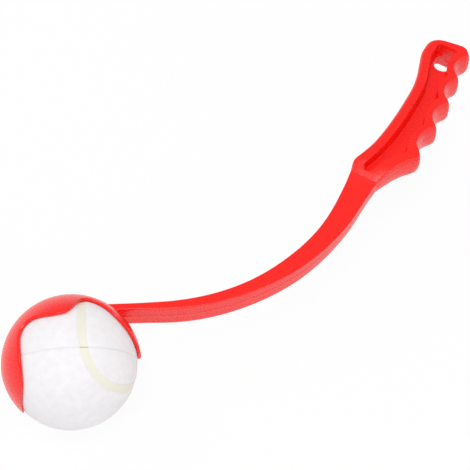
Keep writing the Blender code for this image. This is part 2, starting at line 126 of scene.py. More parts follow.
def claw_rings():
    """Draw the claw's slices, each a thin wall with a rounded rim at both sides."""
    places = np.array([angle for angle, _ in CLAW_HALF_WIDTHS])
    angle = np.interp(np.linspace(0.0, len(places) - 1.0, CLAW_SLICES), np.arange(len(places)), places)
    half = through(CLAW_HALF_WIDTHS, angle)[:, None]
    thinned = np.clip((angle[:, None] - TOE_THINS_FROM) / TOE_THINS_OVER, 0.0, 1.0)
    wall = CLAW_RIM_WALL + (CLAW_TOE_WALL - CLAW_RIM_WALL) * thinned
    outside = SEAT_RADIUS + wall
    rim = np.degrees(wall / 2.0 / outside)
    straight = np.maximum(half - rim, 0.0)
    latitude = np.linspace(-1.0, 1.0, CLAW_ROWS + 1)[None, :] * straight
    edge = np.radians(np.linspace(90.0, -90.0, RIM_STEPS + 1))[None, 1:-1]
    edge_latitude = straight + (half - straight) * np.cos(edge)
    edge_radius = SEAT_RADIUS + wall / 2.0 * (1.0 + np.sin(edge))
    back_latitude, back_edge = latitude[:, ::-1], -edge_latitude[:, ::-1]
    latitudes = np.concatenate([latitude, edge_latitude, back_latitude, back_edge], axis=1)
    outer = np.broadcast_to(outside, latitude.shape)
    inner = np.full(latitude.shape, SEAT_RADIUS)
    radii = np.concatenate([outer, edge_radius, inner, edge_radius[:, ::-1]], axis=1)
    short = TOE_FAR_SHORTFALL * np.clip((angle - TOE_SHORT_FROM) / (angle[-1] - TOE_SHORT_FROM), 0.0, 1.0)
    latitudes = np.where(latitudes < 0.0, latitudes * (1.0 - short[:, None]), latitudes)
    rays = on_heading(WAY_OUT + angle)[:, None, :] * np.cos(np.radians(latitudes))[..., None]
    rays[..., 2] = np.sin(np.radians(latitudes))
    return BALL_CENTRE + rays * radii[..., None]


# The arm: a bar with flat sides that springs from the claw's back, bends once and thins towards
# the neck. Both of its edges carry the faint line where the two halves of the mould met.
ARM_HEADING = -41.4
ARM_BEND = 60.2
ARM_STRAIGHT, ARM_ARC, ARM_TAIL = 0.0313, 0.1179, 0.0198
ARM_LENGTH = ARM_STRAIGHT + ARM_ARC + ARM_TAIL
ARM_NECK_WIDTH = 0.0148
ARM_THICKNESS = 0.0154
ARM_EDGE_RADIUS = 0.0007
ARM_FRONT_SHARE, ARM_FLAT_SHARES = 0.6, (0.35, 0.65)
ARM_FLARE_RADIUS = 0.0080
ARM_OFFSET_SHARE, ARM_START_SHARE, ARM_FLARE_END_SHARE = 0.780, 0.401, 0.333
ARM_WIDTH_SHARES = (
    (0.00, 0.250), (0.12, 0.255), (0.25, 0.332), (0.39, 0.402), (0.46, 0.448), (0.53, 0.515),
    (0.60, 0.592), (0.68, 0.655), (0.75, 0.710), (0.83, 0.800), (0.92, 0.892), (1.00, 1.000),
)
ARM_THICKNESS_SHARES = (
    (0.00, 1.000), (0.32, 0.974), (0.46, 0.915), (0.60, 0.831), (0.68, 0.753), (0.75, 0.669),
    (0.83, 0.584), (0.92, 0.532), (0.97, 0.551), (1.00, 0.603),
)
ARM_SLICES = 120
PARTING_HEIGHT = 0.00010
PARTING_HALF_WIDTH = 0.00035
PARTING_SHOULDER = (0.3, 0.6)


def along_table(table, places):
    """Read a table of (place, value) along straight lines between its points."""
    at, values = np.array(table, dtype=float).T
    return np.interp(places, at, values)


def arm_line(distance):
    """Give the points and the headings of the arm's centre line at distances from its root."""
    along, across = on_heading(np.array(ARM_HEADING)), on_heading(np.array(ARM_HEADING + 90.0))
    start = (along * ARM_START_SHARE + across * ARM_OFFSET_SHARE) * (SEAT_RADIUS + CLAW_WALL)
    bend_radius = ARM_ARC / math.radians(ARM_BEND)
    turn = np.degrees(np.clip(distance - ARM_STRAIGHT, 0.0, ARM_ARC) / bend_radius)
    chord = 2.0 * bend_radius * np.sin(np.radians(turn / 2.0))
    tail = np.maximum(distance - ARM_STRAIGHT - ARM_ARC, 0.0)
    points = start + along * np.minimum(distance, ARM_STRAIGHT)[:, None]
    points = points + on_heading(ARM_HEADING + turn / 2.0) * chord[:, None]
    return points + on_heading(ARM_HEADING + turn) * tail[:, None], ARM_HEADING + turn


def arm_rungs():
    """List the arm's back and front points and its thickness, from the claw's wall to the neck."""
    flare_end = (SEAT_RADIUS + CLAW_WALL) * ARM_FLARE_END_SHARE
    neck_start = ARM_LENGTH - ARM_NECK_WIDTH / 2.0
    distance = np.concatenate([
        np.linspace(0.0, flare_end, 16)[:-1], np.linspace(flare_end, neck_start, ARM_SLICES),
    ])
    centre, heading = arm_line(distance)
    left = on_heading(heading + 90.0)
    half = ARM_NECK_WIDTH * through(ARM_WIDTH_SHARES, distance / ARM_LENGTH) / 2.0
    inward = np.clip(flare_end - distance, 0.0, ARM_FLARE_RADIUS)
    spread = ARM_FLARE_RADIUS - np.sqrt(ARM_FLARE_RADIUS ** 2 - inward ** 2)
    thickness = ARM_THICKNESS * through(ARM_THICKNESS_SHARES, distance / ARM_LENGTH)
    return centre + left * half[:, None], centre - left * (half + spread)[:, None], thickness


# The grip: a thick rim round a thin web, with a pocket on each side of the web to save plastic,
# four finger grooves on its front edge, and a round hole near its end to hang it up by.
GRIP_LENGTH = 0.0995
GRIP_THICKNESS = 0.0180
GRIP_TURN = -2.8
GRIP_BACK_RADIUS = 0.0032
GRIP_BACK_RIM = 0.0060
GRIP_FRONT_WALL, GRIP_RIDGE_WALL, GRIP_NOSE_WALL = 0.0034, 0.0053, 0.0064
GRIP_WEB = 0.0020
GROOVE_DEPTH = 0.0043
FINGER_CROWN, BELLY_CROWN = 0.0014, 0.0004
FRONT_EDGE_RADIUS = 0.0006
POCKET_EDGE_RADIUS, POCKET_FOOT_RADIUS, POCKET_DRAFT = 0.0004, 0.0006, 0.0002
POCKET_WALL = POCKET_EDGE_RADIUS + POCKET_DRAFT + POCKET_FOOT_RADIUS
POCKET_CORNER_RADIUS = 0.0022
HANG_HOLE_RADIUS, HANG_HOLE_LEDGE, HANG_HOLE_OFFSET_SHARE = 0.0053, 0.0005, -0.022
HANG_HOLE_SIDES, HOLE_OVERRUN = 96, 3.0
NECK_THICKNESS_SHARES = (
    (0.00, 0.52), (0.05, 0.67), (0.09, 0.77), (0.14, 0.81), (0.22, 0.84), (0.30, 0.92), (0.40, 1.00),
    (0.44, 1.00), (0.60, 1.00), (1.01, 1.00),
)
NECK_RADIUS_SHARES = ((0.00, 0.30), (0.08, 0.34), (0.20, 0.85), (0.30, 1.00), (1.00, 1.00))
GRIP_BACK_SHARES = (
    (0.000, 0.078), (0.067, 0.091), (0.110, 0.078), (0.166, 0.063), (0.329, 0.038), (0.530, 0.033),
    (0.652, 0.040), (0.733, 0.057), (0.802, 0.080), (0.875, 0.101), (0.931, 0.102),
)
GRIP_BELLY_SHARES = (
    (0.000, -0.075), (0.030, -0.084), (0.083, -0.100), (0.142, -0.125), (0.190, -0.157),
    (0.213, -0.176), (0.232, -0.188), (0.248, -0.192), (0.263, -0.190),
)
RIDGE_SHARES = ((0.275, -0.182), (0.459, -0.186), (0.637, -0.174), (0.809, -0.145), (0.978, -0.128))
GROOVE_SHARES = (
    (0.00, 0.00), (0.03, 0.10), (0.08, 0.35), (0.15, 0.64), (0.24, 0.86), (0.35, 0.98),
    (0.46, 1.00), (0.58, 0.94), (0.69, 0.77), (0.79, 0.53), (0.88, 0.27), (0.95, 0.08), (1.00, 0.00),
)
GRIP_BACK_END_SHARES = ((0.931, 0.102), (0.952, 0.097), (0.972, 0.084), (0.981, 0.070), (0.986, 0.045))
GRIP_FRONT_END_SHARES = (
    (0.978, -0.128), (0.983, -0.125), (0.999, -0.109), (1.006, -0.091), (1.004, -0.065),
)
POCKET_CORNER_SHARES = (0.242, 0.434, 0.627, 0.790, 0.962)
POCKET_NOSE, POCKET_NOSE_LENGTH = 0.034, 0.041
NOSE_SLICES, WALL_SLICES, BELLY_SLICES, GROOVE_SLICES, END_SLICES = 14, 9, 60, 26, 15
CORNER_CROWDING, CORNER_LEAD = 1.6, 0.002
BACK_FLAT_SHARE, ROUND_SHARE, INSET_SHARE = 0.55, 0.4, 0.45
FLOOR_SHARES = (0.2, 0.4, 0.6, 0.8)
CROWN_SHARES = (0.82, 0.62, 0.42, 0.22)
CROWN_FULLNESS = 3
GRIP_END_RADIUS = 0.0006
GRIP_END_TURNS = (30.0, 60.0, 90.0)
POCKET_FIRST_SHARES, POCKET_SHARE_LIMITS, POCKET_TRIES = (0.3, 0.7), (0.12, 0.88), 6
SAME_PLACE = 1e-6
TRIM_SIDES = (96, 64)
MOULDING_SHARP_ANGLE = 30.0


def on_grip(along, across):
    """Give points of the grip from their places along and across, as shares of its length."""
    neck, heading = arm_line(np.array([ARM_LENGTH]))
    forward = on_heading(heading[0] + GRIP_TURN)
    sideways = on_heading(heading[0] + GRIP_TURN + 90.0)
    places = forward * np.asarray(along)[:, None] + sideways * np.asarray(across)[:, None]
    return neck + GRIP_LENGTH * places


def front_edge(along):
    """Give the front edge's place across: the belly, then a scallop between each two ridges."""
    across = through(GRIP_BELLY_SHARES, along)
    ridges = along_table(RIDGE_SHARES, along)
    for (start, _), (end, _) in zip(RIDGE_SHARES, RIDGE_SHARES[1:]):
        here = (along >= start) & (along <= end)
        depth = through(GROOVE_SHARES, (along - start) / (end - start)) * GROOVE_DEPTH / GRIP_LENGTH
        across = np.where(here, ridges + depth, across)
    (belly_end, belly_level), (ridge_start, ridge_level) = GRIP_BELLY_SHARES[-1], RIDGE_SHARES[0]
    blend = np.clip((along - belly_end) / (ridge_start - belly_end), 0.0, 1.0)
    joining = (along > belly_end) & (along < ridge_start)
    return np.where(joining, belly_level * (1.0 - blend) + ridge_level * blend, across)


def pocket_edges(along):
    """Give the places across of the pocket's back and front edges."""
    back = through(GRIP_BACK_SHARES, np.minimum(along, GRIP_BACK_SHARES[-1][0]))
    back = back - GRIP_BACK_RIM / GRIP_LENGTH
    nose = through(GRIP_BELLY_SHARES, np.minimum(along, GRIP_BELLY_SHARES[-1][0]))
    nose = nose + GRIP_NOSE_WALL / GRIP_LENGTH
    front = along_table(RIDGE_SHARES, along) + GRIP_RIDGE_WALL / GRIP_LENGTH
    bulge = (GROOVE_DEPTH + GRIP_FRONT_WALL - GRIP_RIDGE_WALL) / GRIP_LENGTH
    for start, end in zip(POCKET_CORNER_SHARES, POCKET_CORNER_SHARES[1:]):
        middle = np.clip(2.0 * (along - start) / (end - start) - 1.0, -1.0, 1.0)
        front = front + bulge * (1.0 - middle ** 2)
    front = np.where(along <= POCKET_CORNER_SHARES[0], nose, front)
    middle, opening = (back + front) / 2.0, (back - front) / 2.0
    opening = opening * quarter_rise((along - POCKET_NOSE) / POCKET_NOSE_LENGTH, 2.0)
    left = np.clip((POCKET_CORNER_SHARES[-1] - along) * GRIP_LENGTH / POCKET_CORNER_RADIUS, 0.0, 1.0)
    corner = POCKET_CORNER_RADIUS / GRIP_LENGTH * (1.0 - np.sqrt(1.0 - (1.0 - left) ** 2))
    opening = np.maximum(opening - corner, 0.0)
    return middle + opening, middle - opening


def along_corner(edge):
    """Space points evenly along a row of points, leaving out the first."""
    fan = np.linspace(0.0, 1.0, END_SLICES)[1:]
    steps = np.concatenate([[0.0], np.cumsum(np.linalg.norm(np.diff(edge, axis=0), axis=1))])
    steps /= steps[-1]
    return np.stack([np.interp(fan, steps, edge[:, 0]), np.interp(fan, steps, edge[:, 1])], axis=1)


def grip_rungs():
    """Pair the grip's front edge with its back edge, closest together at the pocket's two ends."""
    wall = POCKET_WALL / GRIP_LENGTH
    nose_foot, end_foot = POCKET_NOSE + wall, POCKET_CORNER_SHARES[-1] - wall
    belly = np.linspace(0.0, POCKET_NOSE, NOSE_SLICES)[:-1]
    nose = np.linspace(POCKET_NOSE, nose_foot, WALL_SLICES)[:-1]
    round_nose = POCKET_NOSE + POCKET_NOSE_LENGTH - nose_foot
    round_nose = nose_foot + round_nose * np.linspace(0.0, 1.0, NOSE_SLICES)[:-1] ** CORNER_CROWDING
    cheek = np.linspace(POCKET_NOSE + POCKET_NOSE_LENGTH, RIDGE_SHARES[0][0], BELLY_SLICES)[:-1]
    grooves = []
    for (start, _), (end, _) in zip(RIDGE_SHARES, RIDGE_SHARES[1:]):
        grooves.append(start + (end - start) * np.linspace(0.0, 1.0, GROOVE_SLICES)[:-1])
    grooves = np.concatenate(grooves)
    corner_start = end_foot - POCKET_CORNER_RADIUS / GRIP_LENGTH
    grooves = grooves[grooves < corner_start - CORNER_LEAD]
    to_corner = 1.0 - np.linspace(0.0, 1.0, WALL_SLICES)[:-1]
    corner = end_foot - (end_foot - corner_start) * to_corner ** CORNER_CROWDING
    end_wall = np.linspace(end_foot, POCKET_CORNER_SHARES[-1], WALL_SLICES)
    along = np.concatenate([belly, nose, round_nose, cheek, grooves, corner, end_wall])
    back = np.stack([along, through(GRIP_BACK_SHARES, np.minimum(along, GRIP_BACK_SHARES[-1][0]))], axis=1)
    beyond = along > GRIP_BACK_SHARES[-1][0]
    back[beyond, 1] = through(GRIP_BACK_END_SHARES, along[beyond])
    front = np.stack([along, front_edge(along)], axis=1)
    back_end = along_corner(np.array([(along[-1], back[-1, 1]), *GRIP_BACK_END_SHARES[2:]]))
    front_end = along_corner(np.array([(along[-1], front[-1, 1]), *GRIP_FRONT_END_SHARES]))
    return np.concatenate([back, back_end]), np.concatenate([front, front_end])


def bar_rings(back, front, thickness, back_radius, front_radius, crown, pocket_back, pocket_front, depth):
    """Draw the bar's rings: a pocket in each flat side, round back corners and a crowned front."""
    width = np.linalg.norm(front - back, axis=1)
    across = (front - back) / width[:, None]
    half = thickness / 2.0
    places, heights = [], []

    def add(place, height):
        places.append(place)
        heights.append(height)

    zero = np.zeros_like(width)
    shoulder_rise = PARTING_HEIGHT * PARTING_SHOULDER[0]
    shoulder_width = PARTING_HALF_WIDTH * PARTING_SHOULDER[1]
    add(zero - PARTING_HEIGHT, zero)
    add(zero - shoulder_rise, zero + shoulder_width)
    add(zero, zero + PARTING_HALF_WIDTH)
    add(zero, (half - back_radius) * BACK_FLAT_SHARE)
    for angle in np.radians(np.linspace(180.0, 90.0, 7)):
        add(back_radius * (1.0 + np.cos(angle)), half - back_radius * (1.0 - np.sin(angle)))
    drop = (half - GRIP_WEB / 2.0) * depth
    lip = np.minimum(POCKET_EDGE_RADIUS, drop * ROUND_SHARE)
    foot = np.minimum(POCKET_FOOT_RADIUS, drop * ROUND_SHARE)
    wall = []
    for angle in np.radians(np.linspace(0.0, 90.0, 5)):
        wall.append((-POCKET_EDGE_RADIUS * (1.0 - np.sin(angle)), -lip * (1.0 - np.cos(angle))))
    for angle in np.radians(np.linspace(0.0, 90.0, 5)):
        inset = POCKET_DRAFT + POCKET_FOOT_RADIUS * (1.0 - np.cos(angle))
        wall.append((inset, -drop + foot * (1.0 - np.sin(angle))))
    open_width = np.maximum(pocket_front - pocket_back, 0.0)
    inset_limit = open_width * INSET_SHARE
    add((back_radius + pocket_back - POCKET_EDGE_RADIUS) * 0.5, half)
    for inset, fall in wall:
        add(pocket_back + np.minimum(inset, inset_limit), half + fall)
    reach = np.minimum(POCKET_DRAFT + POCKET_FOOT_RADIUS, inset_limit)
    for share in FLOOR_SHARES:
        add(pocket_back + reach + (open_width - 2.0 * reach) * share, half - drop)
    for inset, fall in wall[::-1]:
        add(pocket_front - np.minimum(inset, inset_limit), half + fall)
    add((width - front_radius + pocket_front + POCKET_EDGE_RADIUS) * 0.5, half)
    for angle in np.radians(np.linspace(90.0, 0.0, 5)):
        height = half - front_radius * (1.0 - np.sin(angle))
        bulge = crown * (1.0 - (height / half) ** CROWN_FULLNESS)
        add(width - front_radius * (1.0 - np.cos(angle)) + bulge, height)
    for share in CROWN_SHARES:
        height = (half - front_radius) * share
        add(width + crown * (1.0 - (height / half) ** CROWN_FULLNESS), height)
    add(width + crown, zero + PARTING_HALF_WIDTH)
    add(width + crown + shoulder_rise, zero + shoulder_width)
    add(width + crown + PARTING_HEIGHT, zero)
    place = np.stack(places + places[-2:0:-1], axis=1)
    height = np.stack(heights + [-level for level in heights[-2:0:-1]], axis=1)
    rings = back[:, None, :] + across[:, None, :] * place[..., None]
    rings[..., 2] += height
    return BALL_CENTRE + rings


def thrower_bar():
    """Draw the arm and the grip as one bar, from inside the claw's wall to the end of the grip."""
    arm_back, arm_front, arm_thickness = arm_rungs()
    back, front = grip_rungs()
    back_points, front_points = on_grip(*back.T), on_grip(*front.T)
    rung_width = np.linalg.norm(front_points - back_points, axis=1)
    step = front - back
    along = front[:, 0]
    pocket = []
    for which in (0, 1):
        share = np.full(len(step), POCKET_FIRST_SHARES[which])
        for _ in range(POCKET_TRIES):
            share = (pocket_edges(back[:, 0] + step[:, 0] * share)[which] - back[:, 1]) / step[:, 1]
        pocket.append(np.clip(share, *POCKET_SHARE_LIMITS) * rung_width)
    last = along <= POCKET_CORNER_SHARES[-1] + SAME_PLACE
    wall = POCKET_WALL / GRIP_LENGTH
    entry = np.clip(np.minimum(along - POCKET_NOSE, POCKET_CORNER_SHARES[-1] - along) / wall, 0.0, 1.0)
    depth = np.where(last, 0.5 - 0.5 * np.cos(np.pi * entry), 0.0)
    thickness = GRIP_THICKNESS * through(NECK_THICKNESS_SHARES, along)
    back_radius = GRIP_BACK_RADIUS * along_table(NECK_RADIUS_SHARES, along)
    reach = np.clip(along / GRIP_BELLY_SHARES[-1][0], 0.0, 1.0)
    crown = BELLY_CROWN + (FINGER_CROWN - BELLY_CROWN) * reach
    arm_width = np.linalg.norm(arm_front - arm_back, axis=1)
    edge = np.full(len(arm_width), ARM_EDGE_RADIUS)
    arm = bar_rings(
        arm_back, arm_front, arm_thickness, edge, edge * ARM_FRONT_SHARE, edge * 0.0,
        arm_width * ARM_FLAT_SHARES[0], arm_width * ARM_FLAT_SHARES[1], edge * 0.0,
    )
    grip = bar_rings(
        back_points, front_points, thickness, back_radius, np.full(len(along), FRONT_EDGE_RADIUS), crown,
        pocket[0], pocket[1], depth,
    )
    end_ring, before = grip[-1], grip[-2]
    outward = (end_ring - before).mean(axis=0)
    outward /= np.linalg.norm(outward)
    middle = end_ring.mean(axis=0)
    half = np.abs(end_ring - middle).max(axis=0)
    caps = []
    for angle in np.radians(GRIP_END_TURNS):
        inset = GRIP_END_RADIUS * (1.0 - math.cos(angle))
        shrink = 1.0 - inset / np.array([np.hypot(half[0], half[1])] * 2 + [half[2]])
        caps.append(middle + (end_ring - middle) * shrink + outward * GRIP_END_RADIUS * math.sin(angle))
    return np.concatenate([arm, grip, np.array(caps)])


def cut_with(target, tool, operation):
    """Cut a tool from a piece, or join it to the piece, and remove the tool."""
    step = target.modifiers.new(tool.name, "BOOLEAN")
    step.object = tool
    step.operation = operation
    step.solver = "EXACT"
    evaluated = target.evaluated_get(bpy.context.evaluated_depsgraph_get())
    changed = bpy.data.meshes.new_from_object(evaluated)
    target.modifiers.remove(step)
    target.data = changed
    bpy.data.objects.remove(tool, do_unlink=True)


def stand(name, mesh):
    """Put a mesh in the scene."""
    made = bpy.data.objects.new(name, mesh)
    bpy.context.scene.collection.objects.link(made)
    return made


def linear(hexcode):
    """Turn an sRGB hex colour into the linear colour that a shader takes."""
    values = [int(hexcode[place:place + 2], 16) / 255.0 for place in (0, 2, 4)]
    return tuple(v / 12.92 if v <= 0.04045 else ((v + 0.055) / 1.055) ** 2.4 for v in values) + (1.0,)


def add_node(tree, kind, settings, inputs):
    """Add a node with its settings, and set or link its inputs."""
    made = tree.nodes.new(kind)
    for key, value in settings.items():
        setattr(made, key, value)
    for key, value in inputs.items():
        if isinstance(value, bpy.types.NodeSocket):
            tree.links.new(value, made.inputs[key])
        else:
            made.inputs[key].default_value = value
    return made


def noise_of(tree, place, size, detail):
    """Add a cloud pattern whose features are of a size in metres."""
    return add_node(tree, "ShaderNodeTexNoise", {}, {
        "Vector": place, "Scale": 1.0 / size, "Detail": detail})


def colours_between(tree, share, first, second):
    """Mix two colours, each a hex code or another node's colour, by a share."""
    ends = [linear(colour) if isinstance(colour, str) else colour for colour in (first, second)]
    return add_node(tree, "ShaderNodeMix", {"data_type": "RGBA"}, {
        0: share, 6: ends[0], 7: ends[1]}).outputs[2]


def new_finish(name):
    """Start a material and give its node tree, emptied but for the output."""
    made = bpy.data.materials.new(name)
    made.use_nodes = True
    made.node_tree.nodes.clear()
    return made, made.node_tree


# Polypropylene, injection moulded in a polished tool: a clean saturated red with a sharp gloss that
# softens a little where the skin chilled unevenly, and a faint waviness that bends reflections.
# Its sharp edges and rims carry a painted highlight, a paler red laid on where the surface is sharpest.
POLYPROPYLENE_RED = "FF1C12"
POLYPROPYLENE_DEEP = "FA160E"
# The paler red below is a painted highlight for sharp edges and rims.
POLYPROPYLENE_EDGE_HIGHLIGHT = "FF4436"
POLYPROPYLENE_IOR = 1.49
FLOW_MARK = 0.018
SKIN_WAVE, SKIN_WAVE_HEIGHT, SKIN_WAVE_SHARE = 0.0035, 0.0002, 0.05
SKIN_GRAIN, SKIN_GRAIN_HEIGHT, SKIN_GRAIN_SHARE = 0.0006, 0.0001, 0.015
SKIN_ROUGHNESS = (0.25, 0.29)
GRAIN_SPREAD = (0.3, 0.7)
EDGE_SHARPNESS = (0.53, 0.62)
# How far sharp edges turn towards the painted highlight colour.
EDGE_HIGHLIGHT_SHARE = 0.6


def moulded_polypropylene():
    """Make the moulding's finish."""
    made, tree = new_finish("moulded_polypropylene")
    place = add_node(tree, "ShaderNodeTexCoord", {}, {}).outputs["Object"]
    flow = noise_of(tree, place, FLOW_MARK, 2.0)
    wave = noise_of(tree, place, SKIN_WAVE, 1.0)
    grain = noise_of(tree, place, SKIN_GRAIN, 3.0)
    shade = colours_between(tree, flow.outputs["Fac"], POLYPROPYLENE_DEEP, POLYPROPYLENE_RED)
    # Painted highlight: sharp edges and rims are made paler, standing in for the light they catch.
    edges = add_node(tree, "ShaderNodeMapRange", {}, {
        "Value": add_node(tree, "ShaderNodeNewGeometry", {}, {}).outputs["Pointiness"],
        "From Min": EDGE_SHARPNESS[0], "From Max": EDGE_SHARPNESS[1], "To Min": 0.0, "To Max": EDGE_HIGHLIGHT_SHARE})
    edge_highlight = colours_between(tree, edges.outputs["Result"], shade, POLYPROPYLENE_EDGE_HIGHLIGHT)
    gloss = add_node(tree, "ShaderNodeMapRange", {}, {
        "Value": grain.outputs["Fac"], "From Min": GRAIN_SPREAD[0], "From Max": GRAIN_SPREAD[1],
        "To Min": SKIN_ROUGHNESS[0], "To Max": SKIN_ROUGHNESS[1]})
    ripple = add_node(tree, "ShaderNodeBump", {}, {
        "Strength": SKIN_WAVE_SHARE, "Distance": SKIN_WAVE_HEIGHT, "Height": wave.outputs["Fac"]})
    texture = add_node(tree, "ShaderNodeBump", {}, {
        "Strength": SKIN_GRAIN_SHARE, "Distance": SKIN_GRAIN_HEIGHT, "Height": grain.outputs["Fac"],
        "Normal": ripple.outputs["Normal"]})
    shader = add_node(tree, "ShaderNodeBsdfPrincipled", {}, {
        "Base Color": edge_highlight, "Roughness": gloss.outputs["Result"], "IOR": POLYPROPYLENE_IOR,
        "Normal": texture.outputs["Normal"]})
    add_node(tree, "ShaderNodeOutputMaterial", {}, {"Surface": shader.outputs["BSDF"]})
    return made


thrower = stand("thrower_moulding", skin(thrower_bar(), "thrower_moulding"))
root_trim = bmesh.new()
bmesh.ops.create_uvsphere(
    root_trim, u_segments=TRIM_SIDES[0], v_segments=TRIM_SIDES[1], radius=SEAT_RADIUS + CLAW_WALL / 2.0)
bmesh.ops.translate(root_trim, verts=root_trim.verts, vec=BALL_CENTRE)
root_trim_mesh = bpy.data.meshes.new("root_trim")
root_trim.to_mesh(root_trim_mesh)
root_trim.free()
cut_with(thrower, stand("root_trim", root_trim_mesh), "DIFFERENCE")
cut_with(thrower, stand("claw", skin(claw_rings(), "claw")), "UNION")
hole = bmesh.new()
bmesh.ops.create_cone(
    hole, cap_ends=True, segments=HANG_HOLE_SIDES, radius1=HANG_HOLE_RADIUS, radius2=HANG_HOLE_RADIUS,
    depth=GRIP_WEB * HOLE_OVERRUN)
hole_along = POCKET_CORNER_SHARES[-1] - (HANG_HOLE_RADIUS + HANG_HOLE_LEDGE) / GRIP_LENGTH
hole_place = BALL_CENTRE + on_grip([hole_along], [HANG_HOLE_OFFSET_SHARE])[0]
bmesh.ops.translate(hole, verts=hole.verts, vec=hole_place)
hole_mesh = bpy.data.meshes.new("hang_hole")
hole.to_mesh(hole_mesh)
hole.free()
cut_with(thrower, stand("hang_hole", hole_mesh), "DIFFERENCE")
thrower.data.shade_smooth()
thrower.data.set_sharp_from_angle(angle=math.radians(MOULDING_SHARP_ANGLE))
thrower.data.materials.clear()
thrower.data.materials.append(moulded_polypropylene())
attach(thrower, "thrower")
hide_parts("thrower")

# The ball's core: two cups of black rubber glued rim to rim, which the felt hides.
CORE_BLACK = "2B2A2C"
CORE_GREY = "3A393B"
RUBBER_IOR = 1.52
RUBBER_GRAIN, RUBBER_GRAIN_HEIGHT = 0.0008, 0.0002


def moulded_rubber():
    """Make the core's finish: rubber straight from the mould, dull, with a fine sandy grain."""
    made, tree = new_finish("moulded_rubber")
    place = add_node(tree, "ShaderNodeTexCoord", {}, {}).outputs["Object"]
    grain = noise_of(tree, place, RUBBER_GRAIN, 4.0).outputs["Fac"]
    bump = add_node(tree, "ShaderNodeBump", {}, {
        "Strength": 0.3, "Distance": RUBBER_GRAIN_HEIGHT, "Height": grain})
    shader = add_node(tree, "ShaderNodeBsdfPrincipled", {}, {
        "Base Color": colours_between(tree, grain, CORE_BLACK, CORE_GREY), "Roughness": 0.7,
        "IOR": RUBBER_IOR, "Normal": bump.outputs["Normal"]})
    add_node(tree, "ShaderNodeOutputMaterial", {}, {"Surface": shader.outputs["BSDF"]})
    return made


core_finish = moulded_rubber()
for name in ("core_half_a", "core_half_b"):
    frame["nodes"][name].data.materials.clear()
    frame["nodes"][name].data.materials.append(core_finish)

# The felt: two dumb-bell panels of needled white cloth, glued over the core edge to edge. Their
# raised fibres are matted by handling, and a faint line crosses them where the core's mould shut: a
# shallow groove with painted shade along it.
BALL_RADIUS = 0.0325
SEAM_WIDTH = 0.0040
SEAM_RECESS = 0.00006
SEAM_SWING = 0.1254
BALL_TURN = (-61.7, -3.3, 117.0)
MOULD_LINE_NORMAL = np.array((0.621, 0.752, 0.221))
MOULD_LINE_DEPTH, MOULD_LINE_WIDTH = 0.00022, 0.00040
FELT_EDGE = 0.0011
FELT_TUCK = 0.0003
FELT_OVERLAP_SHARE = 0.2
FELT_SUBDIVISIONS = 7
SEAM_POINTS = 720
RAYS_AT_ONCE = 4096
TURN_STEP = 0.001


def seam_curve(turn):
    """Give unit vectors along the seam, which winds round the ball like a figure of eight."""
    lift = 2.0 * math.sqrt(SEAM_SWING * (1.0 - SEAM_SWING))
    points = np.stack([
        (1.0 - SEAM_SWING) * np.cos(turn) + SEAM_SWING * np.cos(3.0 * turn),
        (1.0 - SEAM_SWING) * np.sin(turn) - SEAM_SWING * np.sin(3.0 * turn),
        lift * np.sin(2.0 * turn),
    ], axis=-1)
    tilt = [Matrix.Rotation(math.radians(angle), 3, axis) for angle, axis in zip(BALL_TURN, "XYZ")]
    return points @ np.array(tilt[2] @ tilt[1] @ tilt[0]).T


def seam_frame(count):
    """Give the seam's points, their directions along it and their directions across it."""
    turn = np.linspace(0.0, 2.0 * np.pi, count, endpoint=False)
    out = seam_curve(turn)
    ahead = seam_curve(turn + TURN_STEP) - seam_curve(turn - TURN_STEP)
    ahead /= np.linalg.norm(ahead, axis=1)[:, None]
    return out, ahead, np.cross(out, ahead)


def felt_panels():
    """Raise the two panels from one fine ball, tucked in along the seam, and part them there."""
    bm = bmesh.new()
    bmesh.ops.create_icosphere(bm, subdivisions=FELT_SUBDIVISIONS, radius=1.0)
    rays = np.array([vert.co[:] for vert in bm.verts])
    rays /= np.linalg.norm(rays, axis=1)[:, None]
    out, ahead, across = seam_frame(SEAM_POINTS)
    nearest = np.empty(len(rays), dtype=int)
    for start in range(0, len(rays), RAYS_AT_ONCE):
        batch = slice(start, start + RAYS_AT_ONCE)
        nearest[batch] = np.argmax(rays[batch] @ out.T, axis=1)
    offset = rays - out[nearest]
    offset -= ahead[nearest] * np.sum(offset * ahead[nearest], axis=1)[:, None]
    distance = np.linalg.norm(offset, axis=1) * BALL_RADIUS
    side = np.sum(offset * across[nearest], axis=1)
    inside = np.clip((SEAM_WIDTH / 2.0 + FELT_EDGE - distance) / FELT_EDGE, 0.0, 1.0)
    tuck = FELT_TUCK * (1.0 - np.sqrt(1.0 - inside ** 2))
    under = distance < SEAM_WIDTH / 2.0 - FELT_EDGE * FELT_OVERLAP_SHARE
    radius = BALL_RADIUS - tuck - np.where(under, FELT_TUCK, 0.0)
    line = np.abs(rays @ MOULD_LINE_NORMAL) * BALL_RADIUS
    radius -= MOULD_LINE_DEPTH * np.exp(-(line / MOULD_LINE_WIDTH) ** 2)
    places = BALL_CENTRE + rays * radius[:, None]
    faces = np.array([[vert.index for vert in face.verts] for face in bm.faces])
    bm.free()
    face_side = side[faces].sum(axis=1)
    made = []
    for name, keep in (("felt_panel_a_nap", face_side > 0.0), ("felt_panel_b_nap", face_side <= 0.0)):
        kept = faces[keep]
        used, renumbered = np.unique(kept, return_inverse=True)
        mesh = bpy.data.meshes.new(name)
        mesh.from_pydata(places[used].tolist(), [], renumbered.reshape(kept.shape).tolist())
        mesh.shade_smooth()
        made.append(stand(name, mesh))
    return made


# Needled wool and nylon felt: matt and soft, its short fibres catch a pale sheen at grazing angles,
# and their matting shows as fine clouds of light and shade. A greyer band along the mould line is
# painted shade for its shallow groove.
FELT_WHITE = "F6F4F6"
FELT_SHADE = "EFECEF"
